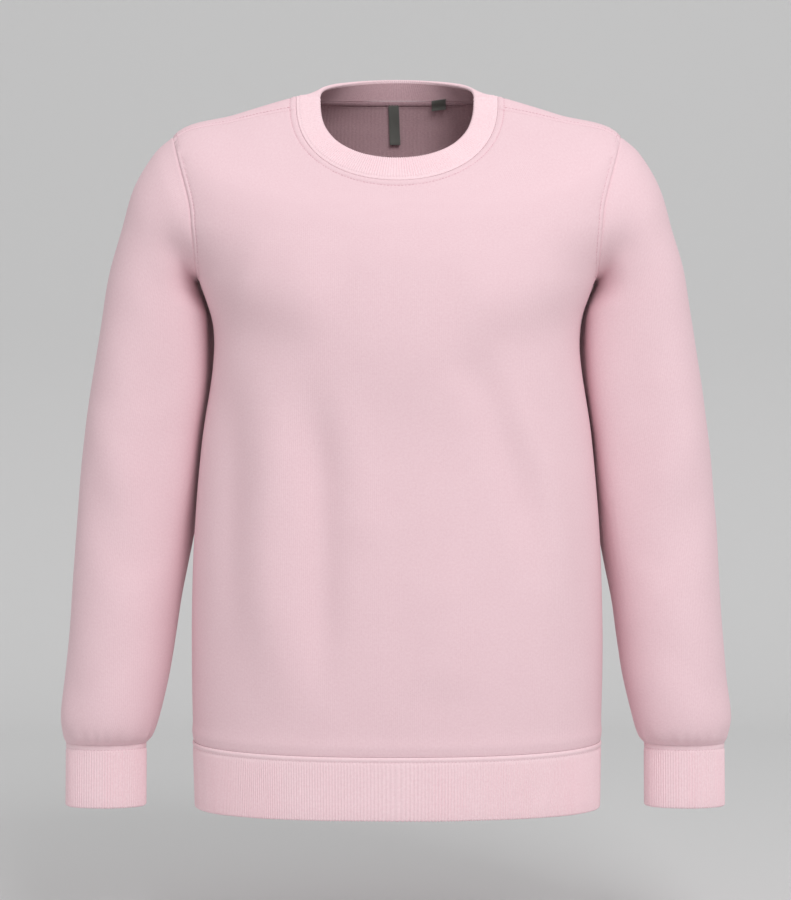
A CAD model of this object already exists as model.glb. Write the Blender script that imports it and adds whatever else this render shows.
# %% [markdown]
# A crewneck sweatshirt, built from its cut pieces.
# The real one is eight pieces of knit cloth: front, back, two sleeves, and four bands of rib at
# the neck, hem and wrists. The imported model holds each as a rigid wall, and this lesson makes the
# cloth over it: shells with folds, puckered seams, thread, ribs and a soft knit finish.

# %% Load the fixed frame
import bpy
import numpy as np
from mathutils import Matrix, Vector


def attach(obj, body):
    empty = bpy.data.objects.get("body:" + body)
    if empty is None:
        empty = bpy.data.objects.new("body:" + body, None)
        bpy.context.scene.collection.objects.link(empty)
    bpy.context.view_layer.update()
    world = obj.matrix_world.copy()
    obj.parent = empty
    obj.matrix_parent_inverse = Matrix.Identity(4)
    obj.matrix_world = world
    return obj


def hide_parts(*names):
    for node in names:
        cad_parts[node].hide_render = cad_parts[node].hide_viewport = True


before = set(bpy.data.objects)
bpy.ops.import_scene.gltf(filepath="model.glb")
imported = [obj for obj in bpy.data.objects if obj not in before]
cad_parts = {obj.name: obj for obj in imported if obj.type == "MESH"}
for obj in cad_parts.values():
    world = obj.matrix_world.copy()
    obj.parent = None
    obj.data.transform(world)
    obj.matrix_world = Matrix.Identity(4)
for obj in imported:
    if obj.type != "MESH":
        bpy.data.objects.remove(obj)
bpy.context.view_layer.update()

MM = 0.001

# %% [markdown]
# A smooth body from a short table.
# A garment on a figure could be sculpted or simulated. Here each row of a table is one ring round
# the body, and a cubic curve runs through the rows, so the shape stays exact at the seams and
# every size can be read. The solid pieces were lofted through the same rings; only the collar's
# free edge lies a millimetre lower at the back here, where soft rib sags.

# %% Rings round the body, from hem seam to neck seam, in millimetres
# heights at front, side and back; half width; depth in front of and behind the side seam;
# squareness of the oval; how far the hanging arm presses the side in; and the powers by which the
# height runs from the side to the front and to the back
BODY_RINGS = np.array([
    [-635, -630, -629, 203.0, 118, 112, 2.35, 0, 1.15, 1.15],  # hem seam
    [-560, -557, -556, 204.5, 120, 113, 2.35, 0, 1.15, 1.15],
    [-452, -450, -448, 203.5, 120, 112, 2.35, 0, 1.15, 1.15],
    [-335, -332, -330, 194.5, 118, 109, 2.35, 0, 1.15, 1.15],  # waist
    [-240, -237, -235, 182.5, 127, 112, 2.35, 0, 1.15, 1.15],  # below the chest
    [-172, -172, -160, 204.5, 125, 119, 2.40, 8, 1.15, 1.15],  # underarm
    [-132, -102, -100, 235.0, 117, 119, 2.40, 4, 1.15, 1.15],  # across the armholes
    [-110, -28, -45, 223.2, 109, 112, 2.40, 0, 1.15, 1.15],    # shoulder tips
    [-96, -6, -8, 160.0, 102, 100, 2.25, 0, 1.05, 1.15],       # middle of the shoulder
    [-82, 12, 19, 101.0, 95, 87, 2.10, 0, 0.83, 1.15],         # neck seam
])
HEM_BOTTOM = np.array([-696, -696, -696, 201.5, 117, 111, 2.35, 0, 1.15, 1.15])
NECK_EDGE = np.array([-59, 14, 40, 76.8, 83, 84, 2.05, 0, 0.72, 0.75])
UNDERARM, TIP, NECK = 5, 7, 9
PRESS_ANGLE, PRESS_SPREAD = np.radians(96), np.radians(26)
SIDE_SEAM, SHOULDER_SEAM = np.radians(90), np.radians(84)
FRONT_SCYE, BACK_SCYE = np.radians(31), np.radians(27)


def bell(t):
    """A soft bump: 1 at 0, falling to nothing by about 2."""
    return np.exp(-t * t)


def ramp(t, low, high):
    """0 below low, 1 above high, and an easy curve between."""
    s = np.clip((t - low) / (high - low), 0, 1)
    return s * s * (3 - 2 * s)


def row_at(rows, place):
    """The table's row at a fractional place. A cubic runs through the rows, and its slope at each
    is half the step between the neighbours."""
    place = np.asarray(place, float)
    slopes = np.gradient(rows, axis=0)
    k = np.clip(np.floor(place).astype(int), 0, len(rows) - 2)
    t = (place - k)[..., None]
    return ((2 * t**3 - 3 * t**2 + 1) * rows[k] + (t**3 - 2 * t**2 + t) * slopes[k]
            + (3 * t**2 - 2 * t**3) * rows[k + 1] + (t**3 - t**2) * slopes[k + 1])


def ring_point(ring, angle):
    """A point on a squared oval: x and y are powers of the sine and cosine, and the height runs
    from the side's to the front's or back's with the cosine. 0 is the front, 90 degrees is +X."""
    (z_front, z_side, z_back, half, front, back,
     square, press, front_level, back_level) = np.moveaxis(ring, -1, 0)
    ahead, aside = np.cos(angle), np.sin(angle)
    pressed = press * bell((np.arccos(ahead) - PRESS_ANGLE) / PRESS_SPREAD)
    x = np.sign(aside) * np.abs(aside) ** (2 / square) * (half - pressed)
    y = np.where(ahead > 0, -front, back) * np.abs(ahead) ** (2 / square)
    level = np.abs(ahead) ** np.where(ahead > 0, front_level, back_level)
    z = z_side + (np.where(ahead > 0, z_front, z_back) - z_side) * level
    return np.stack(np.broadcast_arrays(x, y, z), -1)


def body(angle, place):
    """The body's outer face at an angle from the front and a place from hem (0) to neck (9)."""
    return ring_point(row_at(BODY_RINGS, place), angle)


def hem_face(angle, down):
    """The hem band's face: straight lines between the hem seam's ring and the bottom ring."""
    down = np.asarray(down, float)[..., None]
    return ring_point(BODY_RINGS[0] * (1 - down) + HEM_BOTTOM * down, angle)


def neck_face(angle, up):
    """The collar band's face: straight lines between the neck seam's ring and its folded edge."""
    up = np.asarray(up, float)[..., None]
    return ring_point(BODY_RINGS[NECK] * (1 - up) + NECK_EDGE * up, angle)


def unit(vectors):
    """Each vector at length 1."""
    return vectors / np.maximum(np.linalg.norm(vectors, axis=-1, keepdims=True), 1e-12)


def normal_of(surface, u, v, low, high):
    """The direction square to a surface: the cross product of a small step each way."""
    step = 0.02
    up, down = np.minimum(np.asarray(v) + step, high), np.maximum(np.asarray(v) - step, low)
    along_u = surface(u + step, v) - surface(u - step, v)
    along_v = surface(u, up) - surface(u, down)
    return unit(np.cross(along_u, along_v))


def body_normal(angle, place):
    """Out of the cloth of the body."""
    return normal_of(body, angle, place, 0, NECK)


print("body rings:", BODY_RINGS.shape[0], "from", BODY_RINGS[0, 0], "to", BODY_RINGS[-1, 2], "mm")

# %% [markdown]
# The sleeves.
# A set-in sleeve starts at the armhole, which is an oval that stands almost upright, and ends as a
# level oval at the cuff. A loft through slanted ovals does this: each row of the table gives the
# outer and the inner point seen from the front, and the depth forwards and back. Near the armhole
# the ovals are pulled onto the seam of the body, so both pieces share one curve.

# %% Sleeve sections, from armhole to cuff seam, in millimetres
# outer x and z, inner x and z (x from the midline), where both lie in depth, and the depth each way
SLEEVE_SECTIONS = np.array([
    [223.0, -30, 196.5, -172.0, 2, 2, 64, 70],     # armhole seam
    [243.0, -47, 199.0, -173.0, 3, 14, 68, 72],
    [262.5, -78, 198.0, -179.0, 4, 28, 70, 72],
    [275.0, -120, 192.0, -191.0, 6, 38, 71, 70],
    [287.0, -163, 186.0, -208.0, 8, 44, 72, 67],
    [296.0, -212, 183.0, -235.0, 10, 45, 72, 63],
    [306.0, -275, 184.0, -275.0, 13, 45, 71, 59],
    [314.0, -332, 192.5, -332.0, 14, 44, 68, 58],  # elbow
    [321.0, -412, 203.0, -412.0, 12, 32, 63, 60],
    [325.5, -492, 217.0, -492.0, 7, 14, 58, 58],
    [330.5, -560, 226.5, -560.0, 0, 3, 54, 54],
    [335.0, -604, 236.5, -604.0, -6, -6, 48, 48],
    [332.5, -624, 243.0, -624.0, -9, -9, 40, 40],
    [329.5, -633, 249.5, -633.0, -10, -10, 29, 29],  # cuff seam
])
SLEEVE_END = len(SLEEVE_SECTIONS) - 1
ARMHOLE_BLEND = 4
LEFT_CUFF_SHIFT = -3.5
WEARER_SIDES = ((-1, "right"), (1, "left"))


def armhole_place(turn):
    """Where the armhole lies on the body. The turn is 0 at the underarm and 180 degrees at the
    shoulder tip, and the seam is scooped towards the middle between them."""
    rise = (1 - np.cos(turn)) / 2
    scoop = np.where(np.sin(turn) > 0, FRONT_SCYE, BACK_SCYE)
    angle = SIDE_SEAM + (SHOULDER_SEAM - SIDE_SEAM) * rise - scoop * np.sin(turn)
    return angle, UNDERARM + (TIP - UNDERARM) * rise


def slanted_oval(section, turn):
    """An oval from the inner point (turn 0) over the front to the outer point (180 degrees)."""
    outer_x, outer_z, inner_x, inner_z, outer_y, inner_y, front, back = np.moveaxis(section, -1, 0)
    rise = (1 - np.cos(turn)) / 2
    depth = np.where(np.sin(turn) > 0, front, back)
    return np.stack(np.broadcast_arrays(
        inner_x + (outer_x - inner_x) * rise,
        inner_y + (outer_y - inner_y) * rise - depth * np.sin(turn),
        inner_z + (outer_z - inner_z) * rise), -1)


def sleeve(side, turn, at):
    """A sleeve's outer face. side is -1 for the wearer's right and 1 for the left."""
    turn, at = np.broadcast_arrays(np.asarray(turn, float), np.asarray(at, float))
    to_seam = body(*armhole_place(turn)) - slanted_oval(SLEEVE_SECTIONS[0], turn)
    pull = 1 - ramp(at, 0, ARMHOLE_BLEND)
    point = slanted_oval(row_at(SLEEVE_SECTIONS, at), turn) + to_seam * pull[..., None]
    shift = LEFT_CUFF_SHIFT * (at / SLEEVE_END) ** 2 if side > 0 else 0 * at
    point[..., 0] = side * point[..., 0] + shift
    return point


def sleeve_normal(side, turn, at):
    """Out of the cloth of a sleeve."""
    return -side * normal_of(lambda u, v: sleeve(side, u, v), turn, at, 0, SLEEVE_END)


CUFF_TOP, CUFF_BOTTOM = -633.0, -694.5
CUFF_OUTER, CUFF_INNER, CUFF_DEPTH = 329.0, 250.0, 28.0
CUFF_TOP_Y, CUFF_BOTTOM_Y = -10.0, -13.0


def cuff_face(side, angle, down):
    """A cuff's outer face: an upright oval tube that leans a little forwards."""
    half = (CUFF_OUTER - CUFF_INNER) / 2
    middle = side * (CUFF_OUTER + CUFF_INNER) / 2 + (LEFT_CUFF_SHIFT if side > 0 else 0)
    lean = CUFF_TOP_Y + (CUFF_BOTTOM_Y - CUFF_TOP_Y) * down
    return np.stack(np.broadcast_arrays(
        middle + half * np.sin(angle),
        lean - CUFF_DEPTH * np.cos(angle),
        CUFF_TOP + (CUFF_BOTTOM - CUFF_TOP) * down), -1)


print("sleeve length, shoulder tip to cuff seam:", round(float(np.linalg.norm(
    np.diff(sleeve(-1, np.pi, np.linspace(0, SLEEVE_END, 80)), axis=0), axis=1).sum())), "mm")

# %% [markdown]
# Folds.
# Sweatshirt fleece is thick and soft, so it makes few creases, broad and shallow. They could come
# from a cloth simulation, but each one here has a place in the photograph, so each is laid by hand
# as a line with its own width and lift: a ridge stands out and a trough sinks in. The hidden sides
# get similar ones.

# %% Folds laid by hand, in millimetres
# each is a line of points x, z as seen from the front, its width, and its lift (under 0: a trough)
FRONT_FOLDS = [
    ([(-196, -196), (-158, -216), (-110, -238), (-30, -250)], 26, -2.2),
    ([(200, -194), (160, -216), (106, -240), (20, -252)], 26, -2.4),
    ([(-170, -172), (-118, -190), (-50, -202)], 40, 5.5),
    ([(48, -208), (118, -194), (176, -172)], 40, 5.5),
    ([(34, -246), (84, -280), (108, -338), (128, -412), (142, -500)], 22, -7.0),
    ([(92, -252), (124, -330), (147, -398), (160, -560)], 18, 6.0),
    ([(-120, -246), (-120, -372), (-124, -468), (-104, -616)], 26, 8.0),
    ([(-166, -250), (-164, -330), (-166, -420), (-168, -580)], 20, -4.0),
    ([(-84, -256), (-74, -380), (-72, -480), (-74, -590)], 17, -7.0),
    ([(-54, -270), (-34, -378), (-30, -450)], 22, 2.8),
    ([(-176, -320), (-176, -540)], 12, 1.6),
    ([(30, -430), (46, -520), (40, -590)], 34, 2.4),
]
BACK_FOLDS = [
    ([(-172, -196), (-120, -226), (-60, -238)], 26, -3.0),
    ([(170, -200), (122, -232), (70, -262), (48, -330)], 24, -3.6),
    ([(-96, -262), (-118, -350), (-132, -470), (-120, -590)], 22, 4.6),
    ([(-72, -300), (-84, -400), (-70, -520)], 18, -4.8),
    ([(-150, -380), (-156, -580)], 15, -3.2),
    ([(0, -220), (8, -330), (12, -440)], 30, 3.0),
    ([(72, -330), (92, -420), (96, -500), (84, -590)], 20, -4.6),
    ([(128, -300), (140, -420), (132, -560)], 20, 3.8),
]
# the same on a sleeve, as points of section, turn in degrees: first the cloth that crowds against
# the body under the arm, then small folds
SLEEVE_FOLDS = [
    ([(1.9, 49), (3.6, 47), (5.4, 48), (7.4, 46), (9.6, 38)], 20, 9.0),
    ([(1.0, 64), (2.6, 63), (4.6, 63), (6.6, 62), (8.8, 56)], 22, 6.0),
    ([(0.5, 34), (1.2, 34), (2.0, 30)], 6, -1.6), ([(0.7, 80), (1.6, 82), (3.2, 88)], 12, -1.0),
    ([(4.2, 130), (5.6, 104), (6.8, 76)], 24, -2.0), ([(6.2, 150), (7.2, 118), (7.8, 80)], 22, 2.0),
    ([(7.4, 140), (8.3, 104), (8.8, 66)], 22, -2.0), ([(9.2, 60), (10.2, 110), (10.7, 160)], 18, -1.6),
    ([(0.8, 330), (2.6, 318), (4.6, 312)], 14, -2.4), ([(5.6, 220), (6.6, 262), (7.4, 310)], 22, -2.8),
    ([(6.8, 205), (7.8, 250), (8.6, 304)], 22, 2.8), ([(9.4, 200), (10.3, 245), (10.9, 290)], 18, -2.0),
]


def fold_lift(points, folds):
    """Adds up the folds: each is a bell across its own smooth line, by the distance to the nearest
    point of that line, and it rises and fades along the line."""
    lift = np.zeros(points.shape[:-1])
    for knots, width, height in folds:
        path = row_at(np.asarray(knots, float), np.linspace(0, len(knots) - 1, 160))
        gaps = np.linalg.norm(points[..., None, :] - path, axis=-1)
        along = gaps.argmin(-1) / (len(path) - 1)
        lift += height * bell(gaps.min(-1) / width) * ramp(along, 0, 0.3) * ramp(1 - along, 0, 0.3)
    return lift


def ripple(u, v, seed, height, lengths):
    """Uneven ground: a few slow waves in two directions, each with its own angle and phase."""
    chance = np.random.default_rng(seed)
    total = np.zeros(np.broadcast(u, v).shape)
    for length in lengths:
        turn, phase = chance.uniform(0, np.pi), chance.uniform(0, 2 * np.pi)
        bend = 0.6 * np.sin(2 * np.pi * (u * np.sin(turn) - v * np.cos(turn)) / (2.3 * length))
        total += np.sin(2 * np.pi * (u * np.cos(turn) + v * np.sin(turn)) / length + phase + bend)
    return height * total / len(lengths)


print("folds:", len(FRONT_FOLDS), "front,", len(BACK_FOLDS), "back,", len(SLEEVE_FOLDS), "a sleeve")

# %% [markdown]
# Seams.
# Where two pieces are sewn, the cloth sinks into a narrow ditch, the seam allowance under it lifts
# a low welt beside it, and a second row of stitching presses a groove a few millimetres away. All
# of that depends only on the distance to the seam, so one function of distance shapes every seam,
# and the true distance is measured from each point to a finely sampled seam curve.

# %% Seam curves and the relief beside them
# rows of stitches, by their distance from the seam
STITCH_ROW, ARMHOLE_ROW, SHOULDER_ROW = 6.2, 5.2, 4.6
HEM_ROW, CUFF_ROW, COLLAR_ROW = 5.3, 4.8, 3.0
ROUND = np.linspace(0, 2 * np.pi, 900)
NECK_SEAM = body(ROUND, NECK + 0 * ROUND)
HEM_SEAM = body(ROUND, 0 * ROUND)
SHOULDERS = [body(s * SHOULDER_SEAM, np.linspace(TIP, NECK, 160)) for s in (-1, 1)]
SIDES = [body(s * SIDE_SEAM, np.linspace(0, UNDERARM, 500)) for s in (-1, 1)]
ARMHOLES, ARMHOLES_OUT = {}, {}
for side in (-1, 1):
    angle, place = armhole_place(ROUND)
    ARMHOLES[side] = body(side * angle, place)
    ARMHOLES_OUT[side] = (body_normal(side * angle, place) + sleeve_normal(side, ROUND, 0 * ROUND)) / 2


def steps_along(curve):
    """How far each point of a curve lies from its start."""
    return np.concatenate([[0], np.cumsum(np.linalg.norm(np.diff(curve, axis=0), axis=1))])


def to_curve(points, curve):
    """Each point's distance to a curve, and which point of the curve is the nearest."""
    flat = points.reshape(-1, 3)
    distance, nearest = np.empty(len(flat)), np.empty(len(flat), int)
    for start in range(0, len(flat), 4000):
        block = flat[start:start + 4000]
        gaps = ((block[:, None, :] - curve[None]) ** 2).sum(-1)
        nearest[start:start + 4000] = gaps.argmin(1)
        distance[start:start + 4000] = np.sqrt(gaps.min(1))
    return distance.reshape(points.shape[:-1]), nearest.reshape(points.shape[:-1])


def seam_relief(distance, along, row=None, ditch=0.6, welt=0.45):
    """The cloth beside a seam: a ditch at the seam, a welt, and a groove under the second row of
    stitches, with small uneven puckers along it."""
    lift = -ditch * bell(distance / 1.1)
    if row is None:
        return lift
    pucker = np.sin(2 * np.pi * along / 8.6 + 1.9 * np.sin(2 * np.pi * along / 41))
    lift += welt * bell((distance - row / 2) / (row / 2.6)) * (1 + 0.25 * pucker)
    lift -= 0.6 * bell((distance - row) / 0.8)
    return lift + 0.12 * pucker * bell((distance - row - 2) / 5)


print("seam lengths in mm: neck", round(steps_along(NECK_SEAM)[-1]), "hem", round(steps_along(HEM_SEAM)[-1]),
      "armhole", round(steps_along(ARMHOLES[1])[-1]))

# %% [markdown]
# From grids to meshes.
# Every cloth piece is a grid of points on its outer face and the same grid moved in by the cloth's
# thickness. Joining the two round the edges gives a closed wall, with a true thin edge where the
# cloth ends. The grid's own lengths in millimetres become the UV map, so that the knit follows the
# cloth round every fold.

# %% One closed mesh from an outer and an inner grid
FLEECE_WALL = 2.2
OUTSIDE, INSIDE = 0, 1


def arc_uv(outer):
    """Millimetres along each row and up each column, measured on the cloth and averaged."""
    across = np.linalg.norm(np.diff(outer, axis=1), axis=-1)
    across = np.concatenate([np.zeros((len(outer), 1)), np.cumsum(across, 1)], 1)
    across -= across[:, [across.shape[1] // 2]]
    up = np.linalg.norm(np.diff(outer, axis=0), axis=-1).mean(1)
    up = np.broadcast_to(np.concatenate([[0], np.cumsum(up)])[:, None], outer.shape[:2])
    return np.stack([across, up], -1)


def wall_mesh(name, outer, inner, around=False, uv=None):
    """A closed wall. The outer grid's rows and columns run so that their cross product points
    out. around joins the last column to the first."""
    rows, columns = outer.shape[:2]
    uv = arc_uv(outer) if uv is None else uv
    index = np.arange(rows * columns).reshape(rows, columns)
    left = index if around else index[:, :-1]
    right = np.roll(index, -1, 1) if around else index[:, 1:]
    below = rows * columns
    out = np.stack([left[:-1], right[:-1], right[1:], left[1:]], -1).reshape(-1, 4)
    into = out[:, ::-1] + below
    ends = [np.stack([right[0], left[0], left[0] + below, right[0] + below], -1),
            np.stack([left[-1], right[-1], right[-1] + below, left[-1] + below], -1)]
    if not around:
        a, b = index[:, 0], index[:, -1]
        ends += [np.stack([a[:-1], a[1:], a[1:] + below, a[:-1] + below], -1),
                 np.stack([b[1:], b[:-1], b[:-1] + below, b[1:] + below], -1)]
    faces = np.concatenate([out, into, *ends])
    slots = np.full(len(faces), INSIDE)
    slots[:len(out)] = OUTSIDE
    both_uv = np.concatenate([uv.reshape(-1, 2), uv.reshape(-1, 2)])
    points = np.concatenate([outer.reshape(-1, 3), inner.reshape(-1, 3)])
    return make_object(name, points, faces, slots, both_uv)


def make_object(name, points, faces, slots=None, uv=None):
    """Points in millimetres and faces of four corners, as a smooth object at the origin."""
    mesh = bpy.data.meshes.new(name)
    mesh.vertices.add(len(points))
    mesh.vertices.foreach_set("co", (points * MM).astype(np.float32).ravel())
    mesh.loops.add(faces.size)
    mesh.loops.foreach_set("vertex_index", faces.astype(np.int32).ravel())
    mesh.polygons.add(len(faces))
    mesh.polygons.foreach_set("loop_start", np.arange(0, faces.size, 4, dtype=np.int32))
    if slots is not None:
        mesh.polygons.foreach_set("material_index", slots.astype(np.int32))
    if uv is not None:
        layer = mesh.uv_layers.new(name="cloth")
        layer.data.foreach_set("uv", (uv[faces.ravel()] * MM).astype(np.float32).ravel())
    mesh.polygons.foreach_set("use_smooth", np.ones(len(faces), bool))
    mesh.update(calc_edges=True)
    mesh.validate()
    mesh.set_sharp_from_angle(angle=np.radians(60))
    obj = bpy.data.objects.new(name, mesh)
    bpy.context.scene.collection.objects.link(obj)
    print(f"{name}: {len(points)} points, {2 * len(faces)} triangles")
    return obj


# %% [markdown]
# Front and back.
# The panel's grid runs from seam to seam. Its lines crowd together near the seams, where the
# ditch and the grooves need points less than a millimetre apart, and spread out in the middle,
# where only broad folds pass.

# %% The two body panels
EDGE_STEPS = np.array([0, 0.7, 1.4, 2.1, 2.9, 3.7, 4.5, 5.1, 5.7, 6.3, 7.0, 8.2, 10, 12.5, 16])
MIDDLE_ROWS = 84
ARMHOLE_ROWS = 64
MIDDLE_COLUMNS = 76


def even_columns(facing, angle_edge, place_edge, place_middle):
    """Where the columns cross each row: by true length, EDGE_STEPS from each end and evenly
    between. Gives values from -1 at one edge to 1 at the other."""
    s = np.linspace(0, 1, 241)
    columns = np.empty((len(angle_edge), 2 * len(EDGE_STEPS) + MIDDLE_COLUMNS - 1))
    for i, (edge, at_edge, at_middle) in enumerate(zip(angle_edge, place_edge, place_middle)):
        angle = s * edge if facing > 0 else np.pi - s * (np.pi - edge)
        line = body(angle, at_middle + (at_edge - at_middle) * s * s)
        length = steps_along(line)
        reach = length[-1] - EDGE_STEPS[-1]
        wanted = np.concatenate([np.linspace(0, reach, MIDDLE_COLUMNS // 2 + 1)[:-1],
                                 (length[-1] - EDGE_STEPS)[::-1]])
        half = np.interp(wanted, length, s)
        columns[i] = np.concatenate([-half[:0:-1], half])
    return columns


def panel_rows(facing):
    """The rows' places at the middle and at the edge, and their edge's angle, up to the shoulder
    tips. Above them the rows close in on the neck seam by true distance."""
    low = EDGE_STEPS / (BODY_RINGS[1, 0] - BODY_RINGS[0, 0])
    low = np.concatenate([low, np.linspace(low[-1], UNDERARM, MIDDLE_ROWS)[1:-1]])
    turn = facing * np.linspace(0, np.pi, ARMHOLE_ROWS)
    angle, edge = armhole_place(turn)
    middle = np.linspace(UNDERARM, TIP, ARMHOLE_ROWS)
    top = np.linspace(TIP, NECK, 30)[1:]
    return (np.concatenate([low, middle, top]), np.concatenate([low, edge, top]),
            np.concatenate([np.full(len(low), SIDE_SEAM), angle, np.full(len(top), SHOULDER_SEAM)]),
            len(low) + len(middle))


def spread_top(place, angle, start):
    """Above the shoulder tips the rows are the same share of the way everywhere. This moves them
    so that the last ones lie EDGE_STEPS from the neck seam."""
    step = 0.05
    last = angle[-1]
    speed = np.linalg.norm(body(last, NECK + 0 * last) - body(last, NECK - step + 0 * last), axis=-1) / step
    edge = NECK - EDGE_STEPS[:, None] / speed
    free = len(place) - start - len(EDGE_STEPS)
    share = np.arange(1, free + 1)[:, None] / (free + 1)
    top = np.concatenate([TIP + (edge[-1] - TIP) * share, edge[::-1]])
    return np.concatenate([place[:start], top])


def body_panel(name, facing, folds, seed):
    """A front (facing 1) or back (-1) panel with its folds and seams."""
    place_middle, place_edge, angle_edge, start = panel_rows(facing)
    s = even_columns(facing, angle_edge, place_edge, place_middle)
    angle = s * angle_edge[:, None] if facing > 0 else np.pi - s * (np.pi - angle_edge[:, None])
    place = place_middle[:, None] + (place_edge - place_middle)[:, None] * s * s
    place = spread_top(place, angle, start)
    flat, normal = body(angle, place), body_normal(angle, place)
    (neck, neck_at), (hem, _) = to_curve(flat, NECK_SEAM), to_curve(flat, HEM_SEAM)
    side_gap = np.minimum(*[to_curve(flat, curve)[0] for curve in SIDES])
    lift = seam_relief(neck, steps_along(NECK_SEAM)[neck_at], STITCH_ROW)
    lift += seam_relief(side_gap, 0, None)
    lift += 0.9 * bell((hem - 9) / 6) - 0.5 * bell(hem / 1.6)
    near = np.minimum(neck, hem)
    for curve in SHOULDERS:
        away, at = to_curve(flat, curve)
        lift += seam_relief(away, steps_along(curve)[at], None if facing > 0 else SHOULDER_ROW, welt=0.35)
        near = np.minimum(near, away)
    turned = np.zeros(flat.shape)
    for side, curve in ARMHOLES.items():
        away, at = to_curve(flat, curve)
        relief = seam_relief(away, steps_along(curve)[at], ARMHOLE_ROW, ditch=0.8, welt=0.55)
        lift += relief
        turned += (ARMHOLES_OUT[side][at] - normal) * (relief * bell(away / 2.5))[..., None]
        near = np.minimum(near, away)
    lift += ramp(near, 6, 45) * ramp(side_gap, 0, 12) * (
        fold_lift(flat[..., [0, 2]], folds)
        + ripple(flat[..., 0], flat[..., 2], seed, 0.5, (210, 150, 96, 71)))
    outer = flat + normal * lift[..., None] + turned
    inner = outer - normal * FLEECE_WALL
    if facing < 0:
        outer, inner = outer[:, ::-1], inner[:, ::-1]
    return wall_mesh(name, outer, inner)


front_cloth = body_panel("front_cloth", 1, FRONT_FOLDS, 11)
back_cloth = body_panel("back_cloth", -1, BACK_FOLDS, 12)

# %% Sleeves
SLEEVE_COLUMNS = 200
SLEEVE_ROWS = 120


def sleeve_cloth(name, side, seed):
    """A sleeve with its folds, its ditch at the armhole, and gathers over the cuff."""
    turn = np.linspace(0, 2 * np.pi, SLEEVE_COLUMNS, endpoint=False)
    step = 0.05
    start_speed = np.linalg.norm(sleeve(side, turn, step + 0 * turn)
                                 - sleeve(side, turn, 0 * turn), axis=-1) / step
    end_speed = np.linalg.norm(sleeve(side, turn, SLEEVE_END + 0 * turn)
                               - sleeve(side, turn, SLEEVE_END - step + 0 * turn), axis=-1) / step
    head = EDGE_STEPS[:, None] / np.maximum(start_speed, 6)
    tail = SLEEVE_END - EDGE_STEPS[::-1, None] / np.maximum(end_speed, 12)
    share = np.linspace(0, 1, SLEEVE_ROWS)[1:-1, None]
    at = np.concatenate([head, head[-1] + (tail[0] - head[-1]) * share, tail])
    turns = np.broadcast_to(turn, at.shape)
    flat, normal = sleeve(side, turns, at), sleeve_normal(side, turns, at)
    lines = [(sleeve(side, *(np.asarray(knots, float)[:, ::-1] * (np.pi / 180, 1)).T), width, lift)
             for knots, width, lift in SLEEVE_FOLDS]
    armhole, at_armhole = to_curve(flat, ARMHOLES[side])
    cuff_seam = sleeve(side, ROUND, SLEEVE_END)
    cuff, at_cuff = to_curve(flat, cuff_seam)
    along = steps_along(cuff_seam)[at_cuff]
    gather = np.sin(2 * np.pi * along / 13.1 + 2.2 * np.sin(2 * np.pi * along / 57))
    relief = seam_relief(armhole, 0, None, ditch=0.8)
    lift = relief + 0.45 * gather * bell((cuff - 9) / 9) * ramp(cuff, 0, 3)
    lift += ramp(armhole, 4, 40) * ramp(cuff, 3, 24) * (
        fold_lift(flat, lines) + ripple(turns * 62, flat[..., 2], seed, 0.5, (170, 120, 83, 61)))
    turned = (ARMHOLES_OUT[side][at_armhole] - normal) * (relief * bell(armhole / 2.5))[..., None]
    outer = flat + normal * lift[..., None] + turned
    inner = outer - normal * FLEECE_WALL
    if side > 0:
        outer, inner = outer[:, ::-1], inner[:, ::-1]
    return wall_mesh(name, outer, inner, around=True)


sleeve_cloths = {side: sleeve_cloth(f"sleeve_cloth_{word}", side, 20 + side)
                 for side, word in WEARER_SIDES}

# %% [markdown]
# Rib bands.
# Collar, cuffs and waistband are rib knit folded double: fine ridges that run the short way, and a
# round fold at the free edge. The section of the wall is carried round the opening: down the
# outside, round the fold and up the inside. The ribs are a wave in the angle, and they lift the
# cloth square to that section.

# %% Ribbed bands, folded double
RIB_WALL = 3.0
RIB_LIFT = 0.7
RIB_PITCH = 2.3
NECK_RIB_PITCH = 2.8
RIB_COLUMNS = 6
HEM_HEIGHT, NECK_HEIGHT, CUFF_HEIGHT = 63.0, 25.5, CUFF_TOP - CUFF_BOTTOM


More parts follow.
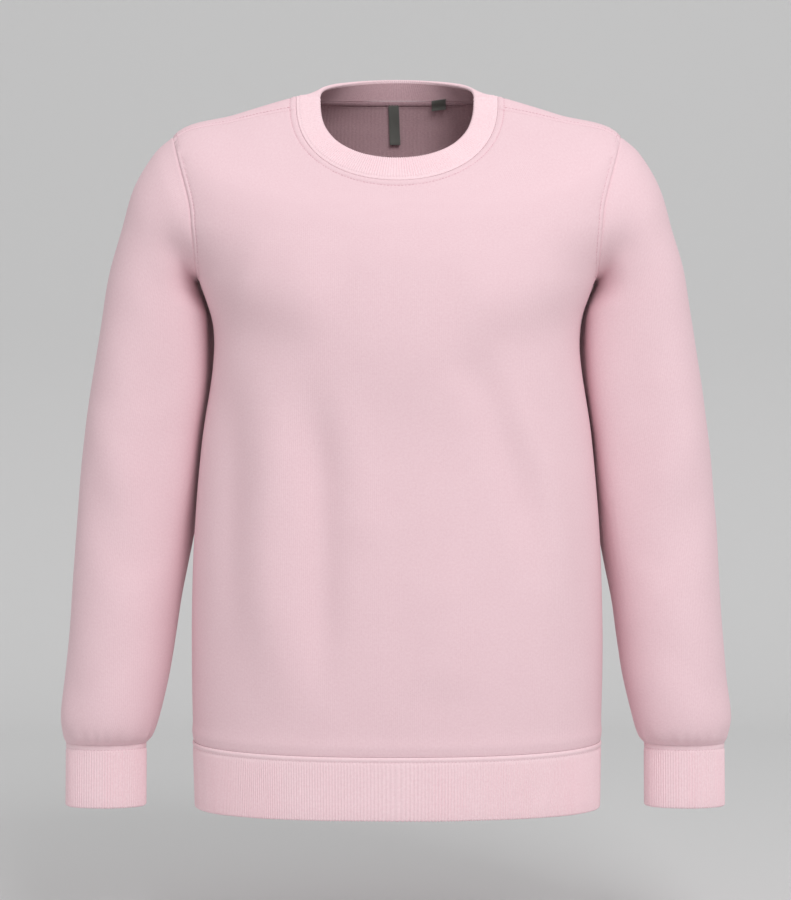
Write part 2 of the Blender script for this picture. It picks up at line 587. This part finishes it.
def ribbed_band(name, surface, normal, length, girth, pitch, relief, flat_end, wave=None,
                rising=False, tuck=-0.25):
    """A band whose outer face is surface(angle, share), share 0 at the seam and 1 at the free
    edge. relief(distance) shapes the face near the seam, and ribs start after flat_end. A rising
    band runs round the other way, so that its faces still point out. tuck is how far the face
    reaches past the seam, under the cloth beside it; under 0, the face stops short of it."""
    ribs = 4 * round(girth / pitch / 4)
    angle = np.linspace(0, -2 * np.pi if rising else 2 * np.pi, ribs * RIB_COLUMNS, endpoint=False)
    fold = RIB_WALL / 2
    face = np.concatenate([[-tuck, 1.0, 1.8, 2.6, 3.4, 4.2, 4.9, 5.6, 6.4, 7.6],
                           np.linspace(10, length - fold, 5)])
    bend = np.radians([30, 60, 90, 120, 150])
    back = np.array([length - fold, length - fold - 2.0, length / 2, 0.25])
    down = np.concatenate([face, length - fold + fold * np.sin(bend), back])
    depth = np.concatenate([0 * face, fold * (1 - np.cos(bend)), RIB_WALL + 0 * back])
    tip = np.concatenate([0 * face, bend, np.pi + 0 * back])
    share = (down / length)[:, None]
    out = normal(angle, np.clip(share, 0, 1))
    along = unit(surface(angle, share + 0.02) - surface(angle, share))
    square = out * np.cos(tip)[:, None, None] + along * np.sin(tip)[:, None, None]
    ridge = np.cos(np.pi * ribs * angle / (2 * np.pi)) ** 2
    uneven = 1 + 0.18 * np.sin(5 * angle + 1) * np.sin(11 * angle)
    grown = ramp(down, flat_end, flat_end + 2.5) * np.where(tip > 3, 0.5, 1.0)
    lift = RIB_LIFT * (ridge ** 0.7 * uneven)[None] * grown[:, None]
    lift = lift + (relief(down) * (depth == 0))[:, None]
    points = surface(angle, share) - out * depth[:, None, None] + square * lift[..., None]
    if wave is not None:
        points = points + out * wave(angle, share)[..., None]
    rows, columns = points.shape[:2]
    index = np.arange(rows * columns).reshape(rows, columns)
    right, under = np.roll(index, -1, 1), np.roll(index, -1, 0)
    faces = np.stack([index, under, np.roll(under, -1, 1), right], -1).reshape(-1, 4)
    inner_face = (tip > 3) & (down < length - fold - 1)
    slots = np.repeat(np.where(inner_face, INSIDE, OUTSIDE), columns)
    uv = np.stack(np.broadcast_arrays(angle / (2 * np.pi) * girth, (depth - down)[:, None]), -1)
    return make_object(name, points.reshape(-1, 3), faces, slots, uv.reshape(-1, 2))


def hem_relief(distance):
    """The top of the waistband: the seam allowance lies under it and lifts a round ridge, and the
    stitches under the ridge press a groove."""
    ridge, ditch = 0.9 * bell((distance - 2.7) / 2.2), 0.5 * bell(distance / 0.8)
    return ridge - ditch - 0.25 * bell((distance - HEM_ROW) / 0.8)


def cuff_relief(distance):
    """The same at a cuff, smaller."""
    return 0.5 * bell((distance - 2.3) / 2.0) - 0.15 * bell((distance - CUFF_ROW) / 0.8)


def neck_relief(distance):
    """The collar sinks at its seam, and the row of stitches 3 mm inside it presses a groove."""
    return -0.6 * bell(distance / 0.8) - 0.5 * bell((distance - COLLAR_ROW) / 0.7)


def loop_length(points):
    """The length of a closed curve."""
    return float(np.linalg.norm(points - np.roll(points, -1, 0), axis=1).sum())


def hem_out(angle, share):
    """Out of the waistband's cloth."""
    return -normal_of(hem_face, angle, share, 0, 1)


def neck_out(angle, share):
    """Out of the collar's cloth, which rises where the other bands fall."""
    return normal_of(neck_face, angle, share, 0, 1)


def cuff_out(side, angle, share):
    """Out of a cuff's cloth."""
    return -normal_of(lambda u, v: cuff_face(side, u, v), angle, share, 0, 1)


hem_cloth = ribbed_band(
    "hem_cloth", hem_face, hem_out, HEM_HEIGHT, loop_length(hem_face(ROUND, 0 * ROUND)),
    RIB_PITCH, hem_relief, 5.6,
    wave=lambda a, s: 0.5 * np.sin(7 * a + 2 * np.sin(3 * a)) * ramp(s, 0.1, 1.0))
neck_cloth = ribbed_band(
    "neck_cloth", neck_face, neck_out, NECK_HEIGHT, loop_length(neck_face(ROUND, 0 * ROUND)),
    NECK_RIB_PITCH, neck_relief, 2.0, rising=True)
cuff_cloths = {
    side: ribbed_band(
        f"cuff_cloth_{word}", lambda a, s: cuff_face(side, a, s), lambda a, s: cuff_out(side, a, s),
        CUFF_HEIGHT, loop_length(cuff_face(side, ROUND, 0 * ROUND)), RIB_PITCH, cuff_relief, 4.6, tuck=0.8)
    for side, word in WEARER_SIDES}

# %% [markdown]
# Thread.
# Up close a row of stitches is a row of small dashes that sink at both ends. Each dash is a short
# capsule of six sides laid along the groove that the seam relief pressed, and a whole row is one
# mesh.

# %% Rows of stitches along the seams
# a thread's width, the pitch and length of a stitch, how deep it sinks into its groove, and how
# far under the plain cloth a row on the body lies
THREAD, PITCH, STITCH, SINK = 0.55, 3.4, 2.5, 0.1
ROW_LIFT = -0.3


def stitch_row(name, path, outwards):
    """Stitches along a path: rings of six points along each dash, thin and sunk at its ends."""
    along = steps_along(path)
    count = int(along[-1] / PITCH)
    middle = (np.arange(count) + 0.5) * along[-1] / count
    steps = np.array([-0.5, -0.36, 0.0, 0.36, 0.5])
    spots = (middle[:, None] + steps * STITCH).ravel()
    centre = np.stack([np.interp(spots, along, path[:, k]) for k in range(3)], -1)
    up = unit(np.stack([np.interp(spots, along, outwards[:, k]) for k in range(3)], -1))
    way = unit(np.gradient(centre, axis=0))
    side = unit(np.cross(way, up))
    thick = np.tile([0.25, 0.85, 1.0, 0.85, 0.25], count) * THREAD / 2
    high = np.tile([-0.30, 0.02, 0.14, 0.02, -0.30], count) - SINK
    turn = np.linspace(0, 2 * np.pi, 6, endpoint=False)
    ring = np.cos(turn)[None, :, None] * side[:, None] + np.sin(turn)[None, :, None] * up[:, None]
    points = (centre + up * high[:, None])[:, None] + ring * thick[:, None, None]
    index = np.arange(count * 30).reshape(count, 5, 6)
    low, top = index[:, :-1], index[:, 1:]
    faces = np.stack([low, np.roll(low, -1, 2), np.roll(top, -1, 2), top], -1).reshape(-1, 4)
    return make_object(name, points.reshape(-1, 3), faces)


def offset_places(curve, angle, place, distance, toward):
    """Moves angles and places on the body sideways from a seam by a distance in mm, by solving the
    small step in the surface's own two directions."""
    step = 0.01
    along_a = (body(angle + step, place) - body(angle - step, place)) / (2 * step)
    high, low = np.minimum(place + step, NECK), np.maximum(place - step, 0)
    along_p = (body(angle, high) - body(angle, low)) / (high - low)[:, None]
    way = unit(np.gradient(curve, axis=0))
    wanted = unit(np.cross(way, unit(np.cross(along_a, along_p)))) * distance * toward
    aa, ap, pp = ((u * v).sum(-1) for u, v in ((along_a, along_a), (along_a, along_p), (along_p, along_p)))
    wa, wp = (wanted * along_a).sum(-1), (wanted * along_p).sum(-1)
    scale = aa * pp - ap * ap
    return angle + (wa * pp - wp * ap) / scale, place + (wp * aa - wa * ap) / scale


def body_row(name, angle, place, toward, distance):
    """A stitch row on the body beside the seam that runs through these angles and places."""
    angle, place = offset_places(body(angle, place), angle, place, distance, toward)
    out = body_normal(angle, place)
    return stitch_row(name, body(angle, place) + out * ROW_LIFT, out)


stitches = {}
for side, word in WEARER_SIDES:
    loop = np.linspace(0.16, 2 * np.pi - 0.16, 900)
    a, p = armhole_place(loop)
    stitches[f"armhole_{word}"] = body_row(f"stitches_armhole_{word}", side * a, p, -side, ARMHOLE_ROW)
    rise = np.linspace(TIP + 0.07, NECK - 0.1, 300)
    stitches[f"shoulder_{word}"] = body_row(
        f"stitches_shoulder_{word}", side * SHOULDER_SEAM + 0 * rise, rise, side, SHOULDER_ROW)
stitches["neck"] = body_row("stitches_neck", ROUND, NECK + 0 * ROUND, 1, STITCH_ROW)


def band_row(name, surface, normal, down, length, lift):
    """A stitch row round a band, at a distance below its seam."""
    path = surface(ROUND, down / length + 0 * ROUND)
    out = normal(ROUND, down / length + 0 * ROUND)
    return stitch_row(name, path + out * lift, out)


stitches["hem"] = band_row("stitches_hem", hem_face, hem_out, HEM_ROW, HEM_HEIGHT, -0.15)
for side, word in WEARER_SIDES:
    stitches[f"cuff_{word}"] = band_row(
        f"stitches_cuff_{word}", lambda a, s: cuff_face(side, a, s),
        lambda a, s: cuff_out(side, a, s), CUFF_ROW, CUFF_HEIGHT, -0.1)
print("stitches:", sum(len(row.data.vertices) // 30 for row in stitches.values()))

# %% [markdown]
# The inside of the neck.
# Looking into the collar shows the back seam from within: the raw edges of panel and rib, overlocked
# together and pressed down onto the panel as a soft round cord of cloth. It is a low bead laid
# under the seam, with a fine wave across it for the overlock thread.

# %% Overlocked seam allowance inside the neck
def neck_allowance(name):
    """A flattened bead round the inside of the neck, just under the seam."""
    angle = np.linspace(0, 2 * np.pi, 900, endpoint=False)
    drop = 1.9
    a, p = offset_places(body(angle, NECK + 0 * angle), angle, NECK + 0 * angle, drop, 1)
    centre, out = body(a, p), body_normal(a, p)
    down = unit(centre - body(angle, NECK + 0 * angle))
    turn = np.linspace(0, 2 * np.pi, 12, endpoint=False)
    wide = np.cos(turn)[:, None] * (2.7 + 0.2 * np.sin(angle * 260))[None]
    deep = FLEECE_WALL + 0.9 + np.sin(turn)[:, None] * 0.7 + 0.1 * np.sin(angle * 260)[None]
    points = centre + down * wide[..., None] - out * deep[..., None]
    index = np.arange(points.shape[0] * points.shape[1]).reshape(points.shape[:2])
    under, right = np.roll(index, -1, 0), np.roll(index, -1, 1)
    corner = np.stack([index, right, np.roll(under, -1, 1), under], -1).reshape(-1, 4)
    uv = np.stack(np.broadcast_arrays(turn[:, None] * 4, angle * 95), -1)
    return make_object(name, points.reshape(-1, 3), corner, None, uv.reshape(-1, 2))


allowance = neck_allowance("neck_allowance")

# %% [markdown]
# Labels.
# Two woven labels are caught in the back neck seam: a long one that hangs and a small size tab.
# Both stay bare. A woven label is a stiff ribbon with a heat-cut or folded edge, so each is a thin
# slab with rounded sides, a turned fold at its foot and a slow bow down its length.

# %% Woven labels
LABEL_WALL = 0.8
LABEL_CLEARANCE = 0.5


def back_inner(x, z, lift):
    """A point on the inner face of the back panel at x and z, lifted towards the front: the place
    and angle are found by repeating a small correction."""
    angle, place = np.pi - np.arcsin(np.clip(x / 110, -1, 1)), np.full(np.shape(x), 8.6)
    for _ in range(30):
        here = body(angle, place)
        across = (body(angle + 0.01, place) - here)[..., 0] / 0.01
        rise = (here - body(angle, place - 0.02))[..., 2] / 0.02
        angle = angle + 0.7 * (x - here[..., 0]) / across
        place = np.clip(place + 0.7 * (z - here[..., 2]) / rise, 5.5, NECK + 0.2)
    return body(angle, place) - body_normal(angle, np.minimum(place, NECK)) * lift[..., None]


def woven_label(name, x, top, width, height, lean, tilt, stand, start=0.0):
    """A bowed slab: a grid in front, the same grid behind, and rounded long edges. It starts so far
    off the cloth and stands off further as it hangs."""
    u = np.linspace(-1, 1, 25)
    v = np.linspace(0, 1, 41)[:, None]
    hang = start + stand * v + 0.25 * np.sin(v * np.pi * 2.3)
    px = x + u * width / 2 + lean * v + 0 * v
    pz = top + u * tilt / 2 - height * v
    bow = hang + 0.35 * (u * u) * (0.3 + v) + 0 * u
    edge = 1 - 0.55 * np.abs(u) ** 8
    fold = 1 + 0.55 * bell((v - 0.95) / 0.05)
    near = back_inner(px, pz, FLEECE_WALL + LABEL_CLEARANCE + bow + LABEL_WALL * (0.5 + edge * fold / 2))
    far = back_inner(px, pz, FLEECE_WALL + LABEL_CLEARANCE + bow + LABEL_WALL * (0.5 - edge * fold / 2))
    return wall_mesh(name, near[::-1], far[::-1])


neck_label = woven_label("neck_label_cloth", -3.7, 17.6, 11, 40.6, 1.8, 0, 1.6)
size_label = woven_label("size_label_cloth", 44.5, 21.4, 14.8, 9.4, 0, 1.6, 0.5, start=1.6)

# %% [markdown]
# Materials.
# The body is a brushed-back fleece of cotton and polyester: on the outside a fine jersey face with
# a slight bloom of loose fibre, so it is fully rough with a soft sheen; inside, loops that were
# brushed to a nap. One small function adds a node, and every pattern reads the piece's own UV map,
# which is in metres along the cloth.

# %% Colour and node helpers
def colour(code):
    """A screen colour in sRGB hex as the linear light that a shader needs."""
    value = np.array([int(code[i:i + 2], 16) for i in (1, 3, 5)]) / 255
    linear = np.where(value <= 0.04045, value / 12.92, ((value + 0.055) / 1.055) ** 2.4)
    return (*linear, 1.0)


def add(tree, kind, inputs=None, **settings):
    """A node with its settings. Each input is a constant, or the output to link from."""
    node = tree.nodes.new(kind)
    for key, value in settings.items():
        setattr(node, key, value)
    for key, value in (inputs or {}).items():
        if isinstance(value, bpy.types.NodeSocket):
            tree.links.new(value, node.inputs[key])
        else:
            node.inputs[key].default_value = value
    return node


def new_material(name, **shader):
    """A material with one Principled shader, and its constants set on the sockets."""
    material = bpy.data.materials.new(name)
    material.use_nodes = True
    bsdf = material.node_tree.nodes["Principled BSDF"]
    for key, value in shader.items():
        bsdf.inputs[key.replace("_", " ")].default_value = value
    return material, material.node_tree, bsdf


# %% Fleece, outside: jersey face
# The real jersey has about 14 stitches to 25 mm. That is finer than the picture shows, so the
# wales are drawn 2.0 mm apart and the fibre mottle 1 to 6 mm across.
def knit_material(name, base, lit, deep, wale, bump, bloom, fuzz=0.15):
    """A knitted face: wales as a band wave along the cloth, broken up by noise, and a mottled
    bloom of fibre over it that shifts the colour a little."""
    material, tree, bsdf = new_material(
        name, Roughness=0.95, IOR=1.5, Specular_IOR_Level=0.2, Sheen_Weight=fuzz, Sheen_Roughness=0.55,
        Sheen_Tint=colour("#fff2f4"))
    uv = add(tree, "ShaderNodeUVMap", uv_map="cloth").outputs["UV"]
    mottle = add(tree, "ShaderNodeTexNoise", {"Vector": uv, "Scale": 420.0, "Detail": 4.0,
                                              "Roughness": 0.65}).outputs["Fac"]
    cloud = add(tree, "ShaderNodeTexNoise", {"Vector": uv, "Scale": 34.0, "Detail": 3.0}).outputs["Fac"]
    wales = add(tree, "ShaderNodeTexWave", {"Vector": uv, "Scale": 0.314 / wale, "Distortion": 1.6,
                                            "Detail": 2.0, "Detail Scale": 1.4},
                wave_type="BANDS", bands_direction="X").outputs["Fac"]
    mixed = add(tree, "ShaderNodeMix", {0: 0.15, 2: mottle, 3: cloud}, data_type="FLOAT").outputs[0]
    ramp_node = add(tree, "ShaderNodeValToRGB", {"Fac": mixed})
    for stop, position, code in zip(ramp_node.color_ramp.elements, (0.34, 0.66), (deep, lit)):
        stop.position, stop.color = position, colour(code)
    tint = add(tree, "ShaderNodeMix", {0: bloom, 6: colour(base), 7: ramp_node.outputs["Color"]},
               data_type="RGBA")
    tree.links.new(tint.outputs[2], bsdf.inputs["Base Color"])
    first = add(tree, "ShaderNodeBump", {"Strength": bump, "Distance": 0.0006, "Height": mottle})
    second = add(tree, "ShaderNodeBump", {"Strength": bump * 0.6, "Distance": 0.0004, "Height": wales,
                                          "Normal": first.outputs["Normal"]})
    tree.links.new(second.outputs["Normal"], bsdf.inputs["Normal"])
    return material


# %% The finishes
fleece_face = knit_material("brushed_back_fleece_face", "#eccbd2", "#f3d7dd", "#e2bec6", 0.0020, 0.22, 0.35)
fleece_nap = knit_material("brushed_back_fleece_nap", "#c9a5ac", "#d4b2b8", "#ae888f", 0.0040, 0.6, 0.5,
                           fuzz=0.1)
rib_face = knit_material("rib_knit", "#f6d7dd", "#fae3e8", "#e9c4cc", 0.0012, 0.25, 0.35)
rib_inside = knit_material("rib_knit_inside", "#c8a5ac", "#d3b1b8", "#b08b93", 0.0012, 0.25, 0.4, fuzz=0.1)
thread_finish, _, _ = new_material("spun_polyester_thread", Base_Color=colour("#dcaeb9"), Roughness=0.6,
                                   IOR=1.54, Sheen_Weight=0.2)
overlock_finish = knit_material("overlocked_edge", "#c09ca4", "#cdaab1", "#a17b84", 0.0015, 0.6, 0.6,
                                fuzz=0.1)


# %% [markdown]
# The labels' satin is woven from flat polyester yarn, so it has a fine crosswise rib and a weak
# gloss that fleece does not have.

# %% Woven label
def label_material(name, base):
    """Damask woven polyester: a fine rib across the ribbon, a little gloss."""
    material, tree, bsdf = new_material(name, Base_Color=colour(base), Roughness=0.55, IOR=1.55,
                                        Sheen_Weight=0.25, Sheen_Roughness=0.4)
    uv = add(tree, "ShaderNodeUVMap", uv_map="cloth").outputs["UV"]
    weave = add(tree, "ShaderNodeTexWave", {"Vector": uv, "Scale": 420.0, "Distortion": 0.4},
                wave_type="BANDS", bands_direction="Y").outputs["Fac"]
    bump = add(tree, "ShaderNodeBump", {"Strength": 0.5, "Distance": 0.0003, "Height": weave})
    tree.links.new(bump.outputs["Normal"], bsdf.inputs["Normal"])
    return material


label_finish = label_material("woven_polyester_label", "#62635e")

for cloth in (front_cloth, back_cloth, *sleeve_cloths.values()):
    cloth.data.materials.append(fleece_face)
    cloth.data.materials.append(fleece_nap)
for band in (neck_cloth, hem_cloth, *cuff_cloths.values()):
    band.data.materials.append(rib_face)
    band.data.materials.append(rib_inside)
for row in stitches.values():
    row.data.materials.append(thread_finish)
allowance.data.materials.append(overlock_finish)
for label in (neck_label, size_label):
    label.data.materials.append(label_finish)
    label.data.materials.append(label_finish)

# %% [markdown]
# Tell the frame what each piece is.
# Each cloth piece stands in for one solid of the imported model, rides on the same body, and is
# declared as cloth with the size of its cut: what would lie flat on the table before sewing.

# %% Ride, replace and declare
def cloth_area(obj):
    """Half the area of the closed shell: one face of the cloth, in square metres."""
    mesh = obj.data
    areas = np.empty(len(mesh.polygons))
    mesh.polygons.foreach_get("area", areas)
    return areas.sum() / 2


def declare(obj, node, cut, fit=None):
    """A cloth piece, its node and slot, and the width and length of its cut in metres. fit is
    the share of that rectangle that the shaped cut fills."""
    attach(obj, "root")
    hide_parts(node)
    area = None if fit is None else fit * cut[0] * cut[1]
    flat_area = area or cut[0] * cut[1]
    print(f"{node}: cut {cut[0] * 1000:.0f} x {cut[1] * 1000:.0f} mm, cloth {cloth_area(obj):.4f} m2,"
          f" ratio {cloth_area(obj) / flat_area:.2f}")


declare(front_cloth, "front_panel", (0.560, 0.660), fit=0.80)
declare(back_cloth, "back_panel", (0.550, 0.700), fit=0.85)
for side, word in WEARER_SIDES:
    declare(sleeve_cloths[side], f"sleeve_{word}", (0.420, 0.640), fit=0.72)
declare(neck_cloth, "neckband", (0.570, 0.0255))
declare(hem_cloth, "hem_band", (1.09, 0.063))
for side, word in WEARER_SIDES:
    declare(cuff_cloths[side], f"cuff_{word}", (0.222, 0.0615))
declare(neck_label, "neck_label", (0.011, 0.043))
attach(size_label, "root")
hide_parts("size_label")
for piece in (*stitches.values(), allowance):
    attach(piece, "root")

# %% [markdown]
# Stage, light and camera.
# The garment stands filled out as if worn, so it hangs clear of a pale floor that sweeps up into a
# plain backdrop. A pale dome gives most of the light, more from the front and above than from
# below, and one large soft light from the upper right makes the chest and shoulders brightest.

# %% Pale sweep
FLOOR = -0.84
SWEEP = 0.75


def backdrop(name):
    """A floor that curves up into a wall: one profile of straight, quarter circle, straight."""
    bend = np.linspace(0, np.pi / 2, 24)
    y = np.concatenate([[-3.2], 1.9 + SWEEP * np.sin(bend), [1.9 + SWEEP]])
    z = np.concatenate([[0], SWEEP * (1 - np.cos(bend)), [3.2]]) + FLOOR
    x = np.array([-3.5, 3.5])
    points = np.stack(np.broadcast_arrays(x[None], y[:, None], z[:, None]), -1)
    index = np.arange(len(y) * 2).reshape(-1, 2)
    faces = np.stack([index[:-1, 0], index[:-1, 1], index[1:, 1], index[1:, 0]], -1)
    sweep = make_object(name, points.reshape(-1, 3) / MM, faces)
    sweep.data.materials.append(new_material("matte_pale_paint", Base_Color=colour("#dcdcdc"),
                                             Roughness=0.9, IOR=1.5)[0])
    return sweep


floor = backdrop("pale_sweep")

# %% Lights
def soft_light(name, place, aim, size, energy):
    """A square area light that faces a point."""
    lamp = bpy.data.lights.new(name, "AREA")
    lamp.shape, lamp.size, lamp.energy = "SQUARE", size, energy
    obj = bpy.data.objects.new(name, lamp)
    obj.location = place
    obj.rotation_euler = (Vector(aim) - Vector(place)).to_track_quat("-Z", "Y").to_euler()
    bpy.context.scene.collection.objects.link(obj)
    return obj


soft_light("key", (0.75, -2.2, 1.6), (0, 0, -0.25), 1.1, 36)
# the dome is brightest towards this direction, and its strength falls from HIGH to LOW behind it
DOME_FRONT = (0.12, -0.60, 0.79)
DOME_LOW, DOME_HIGH = 0.17, 0.89
world = bpy.data.worlds.new("studio")
world.use_nodes = True
direction = add(world.node_tree, "ShaderNodeTexCoord").outputs["Generated"]
facing = add(world.node_tree, "ShaderNodeVectorMath", {0: direction, 1: DOME_FRONT},
             operation="DOT_PRODUCT").outputs["Value"]
level = add(world.node_tree, "ShaderNodeMapRange", {"Value": facing, "From Min": -1.0, "From Max": 1.0,
                                                    "To Min": DOME_LOW, "To Max": DOME_HIGH}).outputs["Result"]
world.node_tree.nodes["Background"].inputs["Color"].default_value = colour("#f2f2f2")
world.node_tree.links.new(level, world.node_tree.nodes["Background"].inputs["Strength"])
bpy.context.scene.world = world

# %% Camera
camera_data = bpy.data.cameras.new("camera")
camera_data.lens = 100
camera_data.sensor_width = 36
camera_data.dof.use_dof = False
camera = bpy.data.objects.new("camera", camera_data)
camera.location = (-0.0015, -2.5, -0.342)
camera.rotation_euler = (np.pi / 2, 0, 0)
bpy.context.scene.collection.objects.link(camera)
bpy.context.scene.camera = camera
bpy.context.scene.view_settings.view_transform = "Standard"
